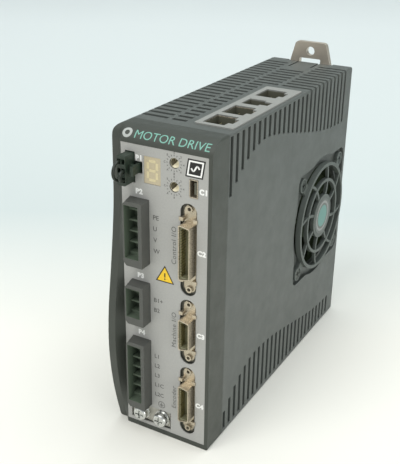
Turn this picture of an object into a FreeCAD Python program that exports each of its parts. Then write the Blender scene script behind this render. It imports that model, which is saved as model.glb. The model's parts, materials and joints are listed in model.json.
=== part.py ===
import FreeCAD, Part
import math
import os

# Compact servo drive: a louvred plastic case on a metal mounting plate, with a front panel of
# sockets, four sockets in the top and a 60 mm fan in the right-hand side.
#
# Drawing frame, in millimetres: X runs from the left side (0) to the right side (WIDTH), Y runs
# from the front panel (0) back to the mounting face (DEPTH) and Z runs up from the base.
# Every piece is moved on export, so that the origin of the part is the centre of its base.

# ---- driving dimensions ----
WIDTH = 50.0
DEPTH = 156.0
HEIGHT = 148.5
WALL = 2.0
FASCIA_DEPTH = 14.0
SEAM = 0.1
SHELL_SPLIT_X = 17.5
LEFT_EDGE_RADIUS = 4.5
RIGHT_EDGE_RADIUS = 1.0

# front panel overlay
PANEL_X = (6.1, 48.2)
PANEL_Z = (2.5, 142.2)
PANEL_THICKNESS = 0.5
HEADER_Z = PANEL_Z[1]
HEADER_CURVE_DEPTH = 8.0

# wing of the fascia: how far it stands in front of the panel, at heights above the base
WING_BLADE_WIDTH = 3.7
WING_PROFILE = [(0.0, -2.7), (10.0, 0.0), (22.0, 2.7), (33.0, 4.3), (44.0, 5.1), (54.0, 4.9),
                (63.0, 4.2), (72.0, 3.0), (81.0, 1.6), (91.0, 0.2), (101.0, -1.1),
                (112.0, -2.2), (124.0, -2.7), (HEADER_Z, -2.8)]

# louvres
LOUVRE_COUNT = 26
LOUVRE_FIRST_Y = 15.9
LOUVRE_PITCH = 5.17
LOUVRE_WIDTH = 2.4
TOP_DIVIDER_X = (16.6, 18.6)
REAR_DIVIDER_X = (32.2, 34.4)
LOUVRES_BESIDE_LABEL = 16
LOUVRES_BEFORE_SNAP = 23

# top label and its sockets
LABEL_X = (29.8, 48.2)
LABEL_Y = (19.8, 90.6)
LABEL_THICKNESS = 0.6
JACK_X = 32.4
JACK_OPENING = 10.4
JACK_Y = (29.0, 45.8, 78.8)
JACK_WIDTH = 13.4
JACK_NOTCH = (2.1, 6.2)
KEYED_SOCKET_Y = 61.3
KEYED_OPENING = (8.4, 9.4)
KEYED_NOTCH = (3.8, 5.4)

# fan in the right-hand side
FAN_Y = 121.5
FAN_Z = 74.25
FAN_SIZE = 60.0
FAN_DEPTH = 15.0
FAN_HOLE_SPACING = 50.0
FAN_DUCT_RADIUS = 28.4
FAN_LEDGE_X = (46.0, 48.0)
FAN_RECESS_RADIUS = 33.5
FAN_RECESS_SQUARE = 62.0
GUARD_RING_RADII = (29.5, 27.7)
GUARD_MID_RADII = (20.7, 19.1)
GUARD_HUB_RADIUS = 12.0
GUARD_X = (49.2, 52.0)
SPOKE_COUNT = 8
SPOKE_FIRST_ANGLE = 83.0
SPOKE_WIDTH = 1.5
SHAFT_RADIUS = 1.5
SHAFT_CLEARANCE = 0.03

# mounting plate
PLATE_THICKNESS = 3.0
PLATE_CENTRE_X = 26.0
PLATE_WIDTH = 26.0
TAB_TOP_Z = 159.5
TAB_TOP_WIDTH = 17.2
TAB_FOOT_WIDTH = 23.4
TAB_HOLE_Z = 154.7
TAB_HOLE_RADIUS = 2.4
TAB_WINDOW_WIDTH = 12.2
TAB_WINDOW_TOP_Z = 150.7
FOOT_SLOT_RADIUS = 2.6
FOOT_SLOT_Z = 7.0

# power sockets: first and last height of each shell, and its number of poles
HEADER_X = (10.2, 19.8)
HEADER_FRONT_Y = -6.0
HEADER_BACK_Y = 3.6
HEADER_CAVITY_X = (11.0, 18.0)
HEADER_RIM = 1.8
HEADER_FOOT = 3.6
HEADER_CORNER = (1.5, 1.7)
HEADER_FLOOR_Y = 2.4
POLE_PITCH = 5.08
POLE_WALL = 0.8
POLE_WALL_FRONT_Y = -1.8
POLE_PIN_FRONT_Y = 0.5
POLE_PIN_WIDTH = 1.0
KEY_SLOT_HEIGHT = 2.0
KEY_SLOT_BACK_Y = -0.6
POWER_HEADERS = {"motor_header": (88.6, 118.6, 4), "brake_header": (59.6, 79.2, 2),
                 "mains_header": (14.6, 50.0, 5)}

# ribbon-type signal connectors: height of the centre and number of ways
RIBBON_X = 39.1
RIBBON_PITCH = 1.27
RIBBONS = {"controller": (99.8, 36), "machine": (60.2, 20), "feedback": (23.8, 26)}
RIBBON_CUTOUT_WIDTH = 8.0
RIBBON_CUTOUT_EXTRA = 17.0
RIBBON_SHELL_WIDTH = 5.5
RIBBON_SHELL_EXTRA = 4.1
RIBBON_SHELL_TAPER = 1.1
RIBBON_SHELL_FRONT_Y = -3.8
RIBBON_FLANGE_Y = (1.6, 2.4)
RIBBON_SHEET = 0.4
RIBBON_SLOT_FLOOR_Y = 0.8
RIBBON_SLOT_WIDTH = 3.8
RIBBON_FLANGE_MARGIN = 1.1
RIBBON_SCREW_OFFSET = 5.8
RIBBON_SCREW_RADIUS = 0.8

# small controls in the panel
DISPLAY_X = (17.6, 25.6)
DISPLAY_Z = (126.0, 137.8)
SWITCH_X = 32.2
SWITCH_Z = (126.9, 137.2)
SWITCH_HOLE_RADIUS = 2.35
SWITCH_ROTOR_RADIUS = 2.15
SWITCH_CLEARANCE = 0.06
SWITCH_FACE_Y = 0.8
USB_X = (39.5, 43.4)
USB_Z = (124.1, 132.0)

# safety plug
STO_X = (8.6, 12.8)
STO_Z = (125.4, 138.4)
STO_CLEARANCE = 0.35
STO_BODY_FRONT_Y = -6.5
STO_NOSE_BACK_Y = 4.8
STO_LATCH_Z = (130.2, 134.4)
STO_LATCH_X = (15.0, 15.7)
STO_PIVOT_Y = -3.1
STO_PIVOT_RADIUS = 0.5
STO_WINDOW_X = 16.8
STO_WIRE_RADIUS = 0.65

# earth terminal
GROUND_PLATE_X = (8.6, 29.4)
GROUND_PLATE_Z = (4.5, 12.9)
GROUND_PLATE_Y = (1.0, 2.4)
GROUND_SCREW_X = (14.6, 25.4)
GROUND_SCREW_Z = 9.0
SCREW_HEAD_RADIUS = 3.45

# inside
POWER_BOARD_X = 16.2
CONTROL_BOARD_X = 44.0
BOARD_THICKNESS = 1.6
BOARD_POSTS = ((24.0, 19.0), (24.0, 115.0), (144.0, 19.0), (144.0, 115.0))
HEAT_SINK_FACE_X = 11.0
HEAT_SINK_BASE = 5.0
HEAT_SINK_Z = (4.0, 140.0)
FIN_COUNT = 22
FIN_PITCH = 6.2
MODULE_SCREWS = ((59.4, 91.0), (108.6, 91.0), (77.0, 37.0))

# screws of the case and of the mounting plate
HOUSING_SCREW_X = 8.5
HOUSING_SCREW_Y = (30.0, 140.0)
PLATE_SCREW_X = 17.0
PLATE_SCREW_Z = (30.0, 74.0, 118.0)

EXPORT_SHIFT = FreeCAD.Vector(-WIDTH / 2, -DEPTH / 2, 0)
X_AXIS = FreeCAD.Vector(1, 0, 0)
Y_AXIS = FreeCAD.Vector(0, 1, 0)
Z_AXIS = FreeCAD.Vector(0, 0, 1)


# ---- helpers ----
def vec(x, y, z):
    return FreeCAD.Vector(x, y, z)


def box(x0, x1, y0, y1, z0, z1):
    """A block between two corners."""
    return Part.makeBox(x1 - x0, y1 - y0, z1 - z0, vec(x0, y0, z0))


def rod(radius, start, length, axis):
    """A cylinder that runs from start along an axis."""
    return Part.makeCylinder(radius, length, start, axis)


def pipe(outer, inner, start, length, axis):
    """A tube that runs from start along an axis."""
    hole = rod(inner, start - axis * 1.0, length + 2.0, axis)
    return rod(outer, start, length, axis).cut(hole)


def fuse_all(shapes):
    """One solid from overlapping shapes."""
    return shapes[0].multiFuse(shapes[1:]).removeSplitter()


def cut_all(shape, tools):
    """A shape with many tools cut out of it."""
    return shape.cut(Part.makeCompound(tools))


def runs_along(edge, axis):
    """True for a straight edge parallel to an axis."""
    if edge.Curve.TypeId != "Part::GeomLine":
        return False
    return abs(abs(edge.tangentAt(edge.FirstParameter).dot(axis)) - 1.0) < 1e-6


def round_edges(shape, radius, axis, keep=None):
    """Round the straight edges along one axis, or only those whose middle keep() accepts."""
    edges = [e for e in shape.Edges if runs_along(e, axis) and (keep is None or keep(e.CenterOfMass))]
    return shape.makeFillet(radius, edges)


def prism(points, axis, length):
    """A straight prism on a closed polygon."""
    outline = Part.makePolygon(points + [points[0]])
    return Part.Face(outline).extrude(axis * length)


def oblong(x, z0, z1, width, y0, y1):
    """A block with full round ends, upright, that runs from y0 to y1."""
    radius = width / 2
    middle = box(x - radius, x + radius, y0, y1, z0 + radius, z1 - radius)
    low = rod(radius, vec(x, y0, z0 + radius), y1 - y0, Y_AXIS)
    high = rod(radius, vec(x, y0, z1 - radius), y1 - y0, Y_AXIS)
    return fuse_all([middle, low, high])


def export(node, *solids):
    """Write the solids of one node in the frame of the finished part."""
    shape = solids[0].copy() if len(solids) == 1 else Part.makeCompound([s.copy() for s in solids])
    shape.translate(EXPORT_SHIFT)
    shape.exportStep("parts/" + node + ".step")
    print(node, len(shape.Solids), round(shape.Volume / 1000, 3), shape.isValid())


# ---- case: louvred shells ----
def louvre_y(index):
    return LOUVRE_FIRST_Y + index * LOUVRE_PITCH


def upper_louvre_end(y):
    """Height of the lower end of an upper side louvre: a short rise, then a long fall."""
    peak_y = 49.0
    if y < peak_y:
        return 137.6 - 17.5 * ((peak_y - y) / 34.0) ** 2
    return 137.6 - 17.1 * math.sin(math.radians(90.0 * (y - peak_y) / 97.0)) ** 1.45


def lower_louvre_end(y):
    """Height of the upper end of a lower side louvre."""
    peak_y = 49.0
    if y < peak_y:
        return 28.2 - 17.0 * ((peak_y - y) / 34.0) ** 2
    return 28.2 - 15.2 * math.sin(math.radians(90.0 * (y - peak_y) / 97.0)) ** 1.8


def side_louvres(x0, x1):
    """Cutters for both rows of louvres in one side wall."""
    tools = []
    for index in range(LOUVRE_COUNT):
        y = louvre_y(index)
        y0 = y - LOUVRE_WIDTH / 2
        y1 = y + LOUVRE_WIDTH / 2
        beside_label = index < LOUVRES_BESIDE_LABEL and x0 > WIDTH / 2
        top = HEIGHT - 1.2 if beside_label or index == 0 else HEIGHT + 1
        tools.append(box(x0, x1, y0, y1, upper_louvre_end(y), top))
        tools.append(box(x0, x1, y0, y1, WALL + 0.4, lower_louvre_end(y)))
    return tools


def top_louvres(x0, x1, first, last):
    """Cutters for one column of louvres in the top wall."""
    tools = []
    for index in range(first, last):
        y = louvre_y(index)
        half = LOUVRE_WIDTH / 2
        tools.append(box(x0, x1, y - half, y + half, HEIGHT - WALL - 0.1, HEIGHT + 1))
    return tools


def fan_outline(grow, x0, x1):
    """Round-cornered square joined to a larger circle, as a block from x0 to x1."""
    half = FAN_RECESS_SQUARE / 2 + grow
    square = box(x0, x1, FAN_Y - half, FAN_Y + half, FAN_Z - half, FAN_Z + half)
    square = round_edges(square, 5.0 + grow, X_AXIS)
    disc = rod(FAN_RECESS_RADIUS + grow, vec(x0, FAN_Y, FAN_Z), x1 - x0, X_AXIS)
    rear = box(x0 - 1, x1 + 1, DEPTH - 2.6 + grow, DEPTH + 40, 0, HEIGHT)
    return fuse_all([square, disc]).cut(rear)


def fan_hole_centres():
    """Y and Z of the four corner screws of the fan."""
    half = FAN_HOLE_SPACING / 2
    return [(FAN_Y + sy * half, FAN_Z + sz * half) for sy in (-1, 1) for sz in (-1, 1)]


def case_block():
    """Both shells in one piece, before they are split."""
    outer = box(0, WIDTH, FASCIA_DEPTH, DEPTH, 0, HEIGHT)
    outer = round_edges(outer, LEFT_EDGE_RADIUS, Y_AXIS, lambda c: c.x < 1 and c.z > HEIGHT - 1)
    outer = round_edges(outer, RIGHT_EDGE_RADIUS, Y_AXIS,
                        lambda c: c.x > WIDTH - 1 or (c.x < 1 and c.z < 1))
    outer = round_edges(outer, 1.2, Z_AXIS, lambda c: c.y > DEPTH - 1)
    inner = box(WALL, WIDTH - WALL, FASCIA_DEPTH - 1, DEPTH - WALL, WALL, HEIGHT - WALL)
    case = outer.cut(inner)
    ledge = fan_outline(WALL, FAN_LEDGE_X[0], WIDTH - WALL + 0.5)
    ledge = ledge.common(box(0, WIDTH, FASCIA_DEPTH, DEPTH - WALL + 0.5, WALL, HEIGHT - WALL))
    return case.fuse(ledge)


def case_cutters():
    """Everything that is open in the case."""
    tools = side_louvres(WIDTH - WALL - 0.1, WIDTH + 1)
    tools += side_louvres(-1, WALL + 0.1)
    tools += top_louvres(-1, TOP_DIVIDER_X[0], 1, LOUVRE_COUNT)
    tools += top_louvres(TOP_DIVIDER_X[1], 25.8, 1, LOUVRES_BESIDE_LABEL)
    tools += top_louvres(TOP_DIVIDER_X[1], REAR_DIVIDER_X[0], LOUVRES_BESIDE_LABEL,
                         LOUVRES_BEFORE_SNAP)
    tools += top_louvres(REAR_DIVIDER_X[1], WIDTH + 1, LOUVRES_BESIDE_LABEL, LOUVRE_COUNT)
    tools.append(fan_outline(0, FAN_LEDGE_X[1], WIDTH + 1))
    tools.append(rod(FAN_DUCT_RADIUS, vec(40, FAN_Y, FAN_Z), 20, X_AXIS))
    for y, z in fan_hole_centres():
        tools.append(rod(1.75, vec(44, y, z), 6, X_AXIS))
    # well under the label for the sockets
    tools.append(box(31.0, 47.4, 20.8, 89.6, HEIGHT - WALL - 1, HEIGHT + 1))
    # slits either side of the snap tongue, and the step at its rear end
    tools.append(box(19.2, 20.2, 139.0, DEPTH - PLATE_THICKNESS, HEIGHT - WALL - 1, HEIGHT + 1))
    tools.append(box(31.0, 32.0, 141.0, DEPTH - PLATE_THICKNESS, HEIGHT - WALL - 1, HEIGHT + 1))
    # gap in the rear wall that the mounting plate fills
    half = PLATE_WIDTH / 2 + SEAM
    tools.append(box(PLATE_CENTRE_X - half, PLATE_CENTRE_X + half, DEPTH - PLATE_THICKNESS - SEAM,
                     DEPTH + 1, -1, HEIGHT + 1))
    # countersunk holes for the case screws in the base
    for y in HOUSING_SCREW_Y:
        tools.append(rod(1.6, vec(HOUSING_SCREW_X, y, -1), WALL + 2, Z_AXIS))
        tools.append(Part.makeCone(3.0, 1.6, 1.4, vec(HOUSING_SCREW_X, y, 0), Z_AXIS))
    return tools


def build_case():
    case = cut_all(case_block(), case_cutters())
    left_room = box(-1, SHELL_SPLIT_X - SEAM, 0, DEPTH + 1, -1, HEIGHT + 1)
    right_room = box(SHELL_SPLIT_X, WIDTH + 1, 0, DEPTH + 1, -1, HEIGHT + 1)
    # a low tongue of the right shell reaches under the edge of the left one
    tongue = box(SHELL_SPLIT_X - 3.0, SHELL_SPLIT_X + 4.0, FASCIA_DEPTH + 2, DEPTH - 8, WALL, WALL + 1.2)
    export("left_housing", case.common(left_room))
    export("right_housing", fuse_all([case.common(right_room), tongue]))
    screws = []
    for y in HOUSING_SCREW_Y:
        screw = Part.makeCone(2.7, 1.5, 1.25, vec(HOUSING_SCREW_X, y, 0.15), Z_AXIS)
        screw = screw.fuse(rod(1.5, vec(HOUSING_SCREW_X, y, 1.35), 8.0, Z_AXIS))
        screws.append(cross_recess(screw, vec(HOUSING_SCREW_X, y, 0), Z_AXIS, 3.2, 0.9))
    export("housing_screws", *screws)


# ---- screws ----
def cross_recess(screw, start, axis, span, depth):
    """Cut a cross into a screw head whose face is at start; axis points into the head."""
    if abs(axis.z) > 0.5:
        first = box(-span / 2, span / 2, -0.4, 0.4, 0, depth)
    else:
        first = box(-span / 2, span / 2, 0, depth, -0.4, 0.4)
    second = first.copy()
    second.rotate(vec(0, 0, 0), axis, 90)
    cross = first.fuse(second)
    cross.translate(start)
    return screw.cut(cross)


# ---- front fascia ----
def wing_wire(x, profile):
    """Side outline of the fascia at one width: front edge, curved header and straight back."""
    front = [vec(x, -out, z) for z, out in profile]
    curve = Part.BSplineCurve()
    curve.interpolate(front)
    top_y = -profile[-1][1]
    corner = Part.BezierCurve()
    corner.setPoles([vec(x, top_y, HEADER_Z), vec(x, top_y + 0.3, HEADER_Z + 3.6),
                     vec(x, HEADER_CURVE_DEPTH - 4.2, HEIGHT - 0.1),
                     vec(x, HEADER_CURVE_DEPTH + 0.6, HEIGHT)])
    top = Part.LineSegment(vec(x, HEADER_CURVE_DEPTH + 0.6, HEIGHT), vec(x, FASCIA_DEPTH - SEAM, HEIGHT))
    back = Part.LineSegment(vec(x, FASCIA_DEPTH - SEAM, HEIGHT), vec(x, FASCIA_DEPTH - SEAM, 0))
    base = Part.LineSegment(vec(x, FASCIA_DEPTH - SEAM, 0), front[0])
    return Part.Wire([c.toShape() for c in (curve, corner, top, back, base)])


def fascia_block():
    """Solid fascia: the flat front, the blade of the wing and the slope between them."""
    flat = [(z, 0.0) for z, out in WING_PROFILE]
    panel_side = Part.Face(wing_wire(PANEL_X[0], flat)).extrude(X_AXIS * (WIDTH - PANEL_X[0]))
    blade = Part.Face(wing_wire(0, WING_PROFILE)).extrude(X_AXIS * WING_BLADE_WIDTH)
    slope = Part.makeLoft([wing_wire(WING_BLADE_WIDTH, WING_PROFILE), wing_wire(PANEL_X[0], flat)],
                          True, True)
    block = panel_side.fuse([blade, slope])
    outline = box(0, WIDTH, -20, FASCIA_DEPTH, 0, HEIGHT)
    outline = round_edges(outline, LEFT_EDGE_RADIUS, Y_AXIS, lambda c: c.x < 1 and c.z > HEIGHT - 1)
    outline = round_edges(outline, RIGHT_EDGE_RADIUS, Y_AXIS,
                          lambda c: c.x > WIDTH - 1 or (c.x < 1 and c.z < 1))
    return block.common(outline)


def ribbon_length(ways):
    """Length of the metal shell of a ribbon connector."""
    return (ways / 2 - 1) * RIBBON_PITCH + RIBBON_SHELL_EXTRA


def ribbon_cutout(centre, ways, y0, y1, shrink=0.0):
    """Upright opening with round ends, or the flange that fits in it."""
    half = (ribbon_length(ways) + RIBBON_CUTOUT_EXTRA) / 2 - shrink
    return oblong(RIBBON_X, centre - half, centre + half, RIBBON_CUTOUT_WIDTH - 2 * shrink, y0, y1)


def panel_cutters(y0, y1, grow):
    """Openings for the sockets and controls, shared by the fascia and the overlay."""
    tools = []
    for low, high, poles in POWER_HEADERS.values():
        tools.append(box(HEADER_X[0] - grow, HEADER_X[1] + grow, y0, y1, low - grow, high + grow))
    for centre, ways in RIBBONS.values():
        tools.append(ribbon_cutout(centre, ways, y0, y1))
    for (x0, x1), (z0, z1), gap in ((DISPLAY_X, DISPLAY_Z, grow), (USB_X, USB_Z, grow),
                                    (STO_X, STO_Z, STO_CLEARANCE)):
        tools.append(box(x0 - gap, x1 + gap, y0, y1, z0 - gap, z1 + gap))
    for z in SWITCH_Z:
        tools.append(rod(SWITCH_HOLE_RADIUS, vec(SWITCH_X, y0, z), y1 - y0, Y_AXIS))
    tools.append(box(STO_X[1], STO_WINDOW_X, y0, y1, STO_LATCH_Z[0] - 0.5, STO_LATCH_Z[1] + 0.5))
    tools.append(box(GROUND_PLATE_X[0] - 0.2, GROUND_PLATE_X[1] + 0.8, y0, y1,
                     GROUND_PLATE_Z[0] - 0.3, GROUND_PLATE_Z[1] + 0.5))
    return tools


def build_fascia():
    fascia = fascia_block()
    hollow = box(PANEL_X[0] + 0.6, WIDTH - WALL, WALL + 0.6, FASCIA_DEPTH + 1, WALL, HEIGHT - WALL - 3.0)
    tools = [hollow, box(PANEL_X[0] + 0.6, WIDTH - WALL, 9.0, FASCIA_DEPTH + 1, WALL, HEIGHT - WALL)]
    tools.append(box(WALL, PANEL_X[0] + 1, 6.0, FASCIA_DEPTH + 1, WALL, HEIGHT - WALL - 3.0))
    tools.append(box(PANEL_X[0], PANEL_X[1], -9, PANEL_THICKNESS + 0.1, PANEL_Z[0], PANEL_Z[1]))
    tools += panel_cutters(-1, WALL + 1.0, 0.1)
    tools.append(box(STO_X[0] - 1.3, STO_X[1] + 1.3, PANEL_THICKNESS, 7.0, STO_Z[0] - 1.3, STO_Z[1] + 1.3))
    export("front_fascia", cut_all(fascia, tools))
    gap = SEAM / 2
    panel = box(PANEL_X[0] + gap, PANEL_X[1] - gap, SEAM, PANEL_THICKNESS + SEAM,
                PANEL_Z[0] + gap, PANEL_Z[1] - gap)
    export("front_panel", cut_all(panel, panel_cutters(-1, 2, 0.1)))


# ---- top label and sockets ----
def jack_cavity(y, z0, z1):
    """Room for a modular plug, with its latch notch to the right."""
    half = JACK_WIDTH / 2
    body = box(JACK_X, JACK_X + JACK_OPENING, y - half, y + half, z0, z1)
    notch = box(JACK_X + JACK_OPENING - 1, JACK_X + JACK_OPENING + JACK_NOTCH[0],
                y - JACK_NOTCH[1] / 2, y + JACK_NOTCH[1] / 2, z0, z1)
    return body.fuse(notch)


def keyed_cavity(z0, z1):
    """Room for the small keyed plug."""
    length, width = KEYED_OPENING
    left = JACK_X + 0.6
    right = left + length
    y = KEYED_SOCKET_Y
    body = box(left, right, y - width / 2, y + width / 2, z0, z1)
    notch = box(right - 1.0, right + KEYED_NOTCH[0], y - KEYED_NOTCH[1] / 2, y + KEYED_NOTCH[1] / 2, z0, z1)
    return body.fuse(notch)


def build_top():
    label = box(LABEL_X[0], LABEL_X[1], LABEL_Y[0], LABEL_Y[1], HEIGHT, HEIGHT + LABEL_THICKNESS)
    label = round_edges(label, 0.8, Z_AXIS)
    tools = [jack_cavity(y, HEIGHT - 1, HEIGHT + 2) for y in JACK_Y]
    tools.append(keyed_cavity(HEIGHT - 1, HEIGHT + 2))
    export("top_label", cut_all(label, tools))

    floor_z = 133.0
    top_z = HEIGHT - 0.1
    x0 = JACK_X - 1.3
    x1 = JACK_X + JACK_OPENING + JACK_NOTCH[0] + 1.0
    shields = []
    inserts = []
    contacts = []
    for y in JACK_Y[:2]:
        half = JACK_WIDTH / 2 + 1.0
        shell = box(x0, x1, y - half, y + half, floor_z, top_z)
        core = box(x0 + 0.35, x1 - 0.35, y - half + 0.35, y + half - 0.35, floor_z - 1, top_z - 0.35)
        shields.append(shell.cut(core).cut(jack_cavity(y, floor_z, HEIGHT + 1)))
        insert = box(x0 + 0.4, x1 - 0.4, y - half + 0.4, y + half - 0.4, floor_z, top_z - 0.4)
        inserts.append(insert.cut(jack_cavity(y, floor_z + 2.4, HEIGHT)))
    export("jack_shields", *shields)
    export("jack_inserts", *inserts)

    y = JACK_Y[2]
    half = JACK_WIDTH / 2 + 1.2
    body = box(x0, x1, y - half, y + half, floor_z, top_z)
    export("black_jack", body.cut(jack_cavity(y, floor_z + 2.4, HEIGHT)))
    body = box(x0, x1, KEYED_SOCKET_Y - 6.6, KEYED_SOCKET_Y + 6.6, floor_z + 3, top_z)
    export("keyed_socket", body.cut(keyed_cavity(floor_z + 5.4, HEIGHT)))

    for y in JACK_Y:
        for index in range(8):
            wire_y = y + (index - 3.5) * 1.02
            foot = vec(JACK_X + 0.4, wire_y - 0.23, floor_z + 2.4)
            outline = [foot, foot + vec(0.35, 0, 0), foot + vec(3.4, 0, 11.0), foot + vec(3.05, 0, 11.0)]
            contacts.append(prism(outline, Y_AXIS, 0.46))
    for index in range(4):
        wire_y = KEYED_SOCKET_Y + (index - 1.5) * 1.9
        contacts.append(box(JACK_X + 0.8, JACK_X + 1.4, wire_y - 0.3, wire_y + 0.3,
                            floor_z + 5.4, floor_z + 11.0))
    export("jack_contacts", *contacts)


# ---- mounting plate ----
def build_back_plate():
    y0 = DEPTH - PLATE_THICKNESS
    half = PLATE_WIDTH / 2
    plate = box(PLATE_CENTRE_X - half, PLATE_CENTRE_X + half, y0, DEPTH, 0.6, HEIGHT - 4.0)
    foot = TAB_FOOT_WIDTH / 2
    top = TAB_TOP_WIDTH / 2
    tab = prism([vec(PLATE_CENTRE_X - half, y0, HEIGHT - 5.0), vec(PLATE_CENTRE_X + half, y0, HEIGHT - 5.0),
                 vec(PLATE_CENTRE_X + foot, y0, HEIGHT - 0.5), vec(PLATE_CENTRE_X + top, y0, TAB_TOP_Z),
                 vec(PLATE_CENTRE_X - top, y0, TAB_TOP_Z), vec(PLATE_CENTRE_X - foot, y0, HEIGHT - 0.5)],
                Y_AXIS, PLATE_THICKNESS)
    tab = round_edges(tab, 2.2, Y_AXIS, lambda c: c.z > TAB_TOP_Z - 1)
    plate = fuse_all([plate, tab])
    window = TAB_WINDOW_WIDTH / 2
    opening = box(PLATE_CENTRE_X - window, PLATE_CENTRE_X + window, y0 - 1, DEPTH + 1,
                  HEIGHT - 3.5, TAB_WINDOW_TOP_Z)
    opening = round_edges(opening, 0.6, Y_AXIS)
    hole = rod(TAB_HOLE_RADIUS, vec(PLATE_CENTRE_X, y0 - 1, TAB_HOLE_Z), PLATE_THICKNESS + 2, Y_AXIS)
    slot = box(PLATE_CENTRE_X - FOOT_SLOT_RADIUS, PLATE_CENTRE_X + FOOT_SLOT_RADIUS, y0 - 1, DEPTH + 1,
               -1, FOOT_SLOT_Z)
    slot_end = rod(FOOT_SLOT_RADIUS, vec(PLATE_CENTRE_X, y0 - 1, FOOT_SLOT_Z), PLATE_THICKNESS + 2, Y_AXIS)
    tools = [opening, hole, slot, slot_end]
    for z in PLATE_SCREW_Z:
        tools.append(rod(1.6, vec(PLATE_SCREW_X, y0 - 1, z), PLATE_THICKNESS + 2, Y_AXIS))
        tools.append(Part.makeCone(1.6, 3.1, 1.5, vec(PLATE_SCREW_X, DEPTH - 1.5, z), Y_AXIS))
    export("back_plate", cut_all(plate, tools))


# ---- power sockets ----
def header_corner(z, side):
    """Wedge taken off a left-hand corner of a socket: it fades out towards the panel."""
    across, up = HEADER_CORNER
    x = HEADER_X[0]
    outlines = []
    for y, scale in ((HEADER_FRONT_Y - 0.01, 1.0), (0.0, 0.02)):
        points = [vec(x - 0.2 * across * scale, y, z + side * 0.2 * up * scale),
                  vec(x + 1.2 * across * scale, y, z + side * 0.2 * up * scale),
                  vec(x - 0.2 * across * scale, y, z - side * 1.2 * up * scale)]
        outlines.append(Part.makePolygon(points + [points[0]]))
    return Part.makeLoft(outlines, True, True)


def power_header(low, high, poles):
    """A deep shell, open at the front, with low walls between its poles."""
    x0, x1 = HEADER_CAVITY_X
    front = HEADER_FRONT_Y
    shell = box(HEADER_X[0], HEADER_X[1], front, HEADER_BACK_Y, low, high)
    tools = [header_corner(low, -1), header_corner(high, 1)]
    tools.append(box(x0, x1, front - 1, POLE_WALL_FRONT_Y, low + HEADER_FOOT, high - HEADER_RIM))
    cell = (POLE_PITCH - POLE_WALL) / 2
    for z in pole_heights(low, high, poles):
        tools.append(box(x0, x1, front - 1, HEADER_FLOOR_Y, z - cell, z + cell))
    z = high - HEADER_RIM - 0.4
    tools.append(box(x0 + 1.2, x1 - 1.2, front - 1, KEY_SLOT_BACK_Y, z - KEY_SLOT_HEIGHT, z))
    return cut_all(shell, tools)


def pole_heights(low, high, poles):
    """Heights of the poles of a socket."""
    middle = (low + high) / 2
    return [middle + (index - (poles - 1) / 2) * POLE_PITCH for index in range(poles)]


def build_power_headers():
    pins = []
    half = POLE_PIN_WIDTH / 2
    x = (HEADER_CAVITY_X[0] + HEADER_CAVITY_X[1]) / 2
    for name, (low, high, poles) in POWER_HEADERS.items():
        export(name, power_header(low, high, poles))
        for z in pole_heights(low, high, poles):
            pin = box(x - half, x + half, POLE_PIN_FRONT_Y, HEADER_FLOOR_Y, z - half, z + half)
            tip = [e for e in pin.Edges if e.CenterOfMass.y < POLE_PIN_FRONT_Y + 0.1]
            pins.append(pin.makeChamfer(0.3, tip))
    export("power_contacts", *pins)


# ---- ribbon-type signal connectors ----
def ribbon_sleeve(centre, length, width, y0, y1):
    """D-shaped block for the metal shell and what fits in it: its right side is shorter."""
    left = RIBBON_X - width / 2
    right = RIBBON_X + width / 2
    half = length / 2
    short = half - RIBBON_SHELL_TAPER
    block = prism([vec(left, y0, centre - half), vec(right, y0, centre - short),
                   vec(right, y0, centre + short), vec(left, y0, centre + half)], Y_AXIS, y1 - y0)
    return round_edges(block, 0.8, Y_AXIS)


def ribbon_shell(centre, ways):
    """Flange with two screw holes and a thin sleeve that stands out through the panel."""
    length = ribbon_length(ways)
    front, back = RIBBON_FLANGE_Y
    flange = ribbon_cutout(centre, ways, front, back, RIBBON_FLANGE_MARGIN)
    sleeve = ribbon_sleeve(centre, length, RIBBON_SHELL_WIDTH, RIBBON_SHELL_FRONT_Y, back)
    shell = flange.fuse(sleeve)
    inside = ribbon_sleeve(centre, length - 2 * RIBBON_SHEET, RIBBON_SHELL_WIDTH - 2 * RIBBON_SHEET,
                           RIBBON_SHELL_FRONT_Y - 1, back + 1)
    tools = [inside]
    for side in (-1, 1):
        z = centre + side * (length / 2 + RIBBON_SCREW_OFFSET)
        collar = rod(RIBBON_SCREW_RADIUS + 0.7, vec(RIBBON_X, front - 1.0, z), 1.1, Y_AXIS)
        shell = shell.fuse(collar)
        tools.append(rod(RIBBON_SCREW_RADIUS, vec(RIBBON_X, -1, z), 5, Y_AXIS))
    return cut_all(shell, tools).removeSplitter()


def ribbon_insulator(centre, ways):
    """Block that fills the sleeve, with one long slot between its rows of springs."""
    length = ribbon_length(ways) - 2 * RIBBON_SHEET - 0.1
    width = RIBBON_SHELL_WIDTH - 2 * RIBBON_SHEET - 0.1
    front = RIBBON_SHELL_FRONT_Y + 0.6
    back = RIBBON_FLANGE_Y[1]
    filling = ribbon_sleeve(centre, length, width, front, back)
    half = ribbon_length(ways) / 2 + 1.5
    base = box(RIBBON_X - 3.9, RIBBON_X + 3.9, back, 9.0, centre - half, centre + half)
    slot = ribbon_slot(centre, ways, front - 1, RIBBON_SLOT_FLOOR_Y)
    return fuse_all([filling, base]).cut(slot)


def ribbon_slot(centre, ways, y0, y1):
    """Room for the tongue of the plug."""
    half = RIBBON_SLOT_WIDTH / 2
    reach = ribbon_length(ways) / 2 - RIBBON_SHELL_TAPER - 0.5
    return box(RIBBON_X - half, RIBBON_X + half, y0, y1, centre - reach, centre + reach)


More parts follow.
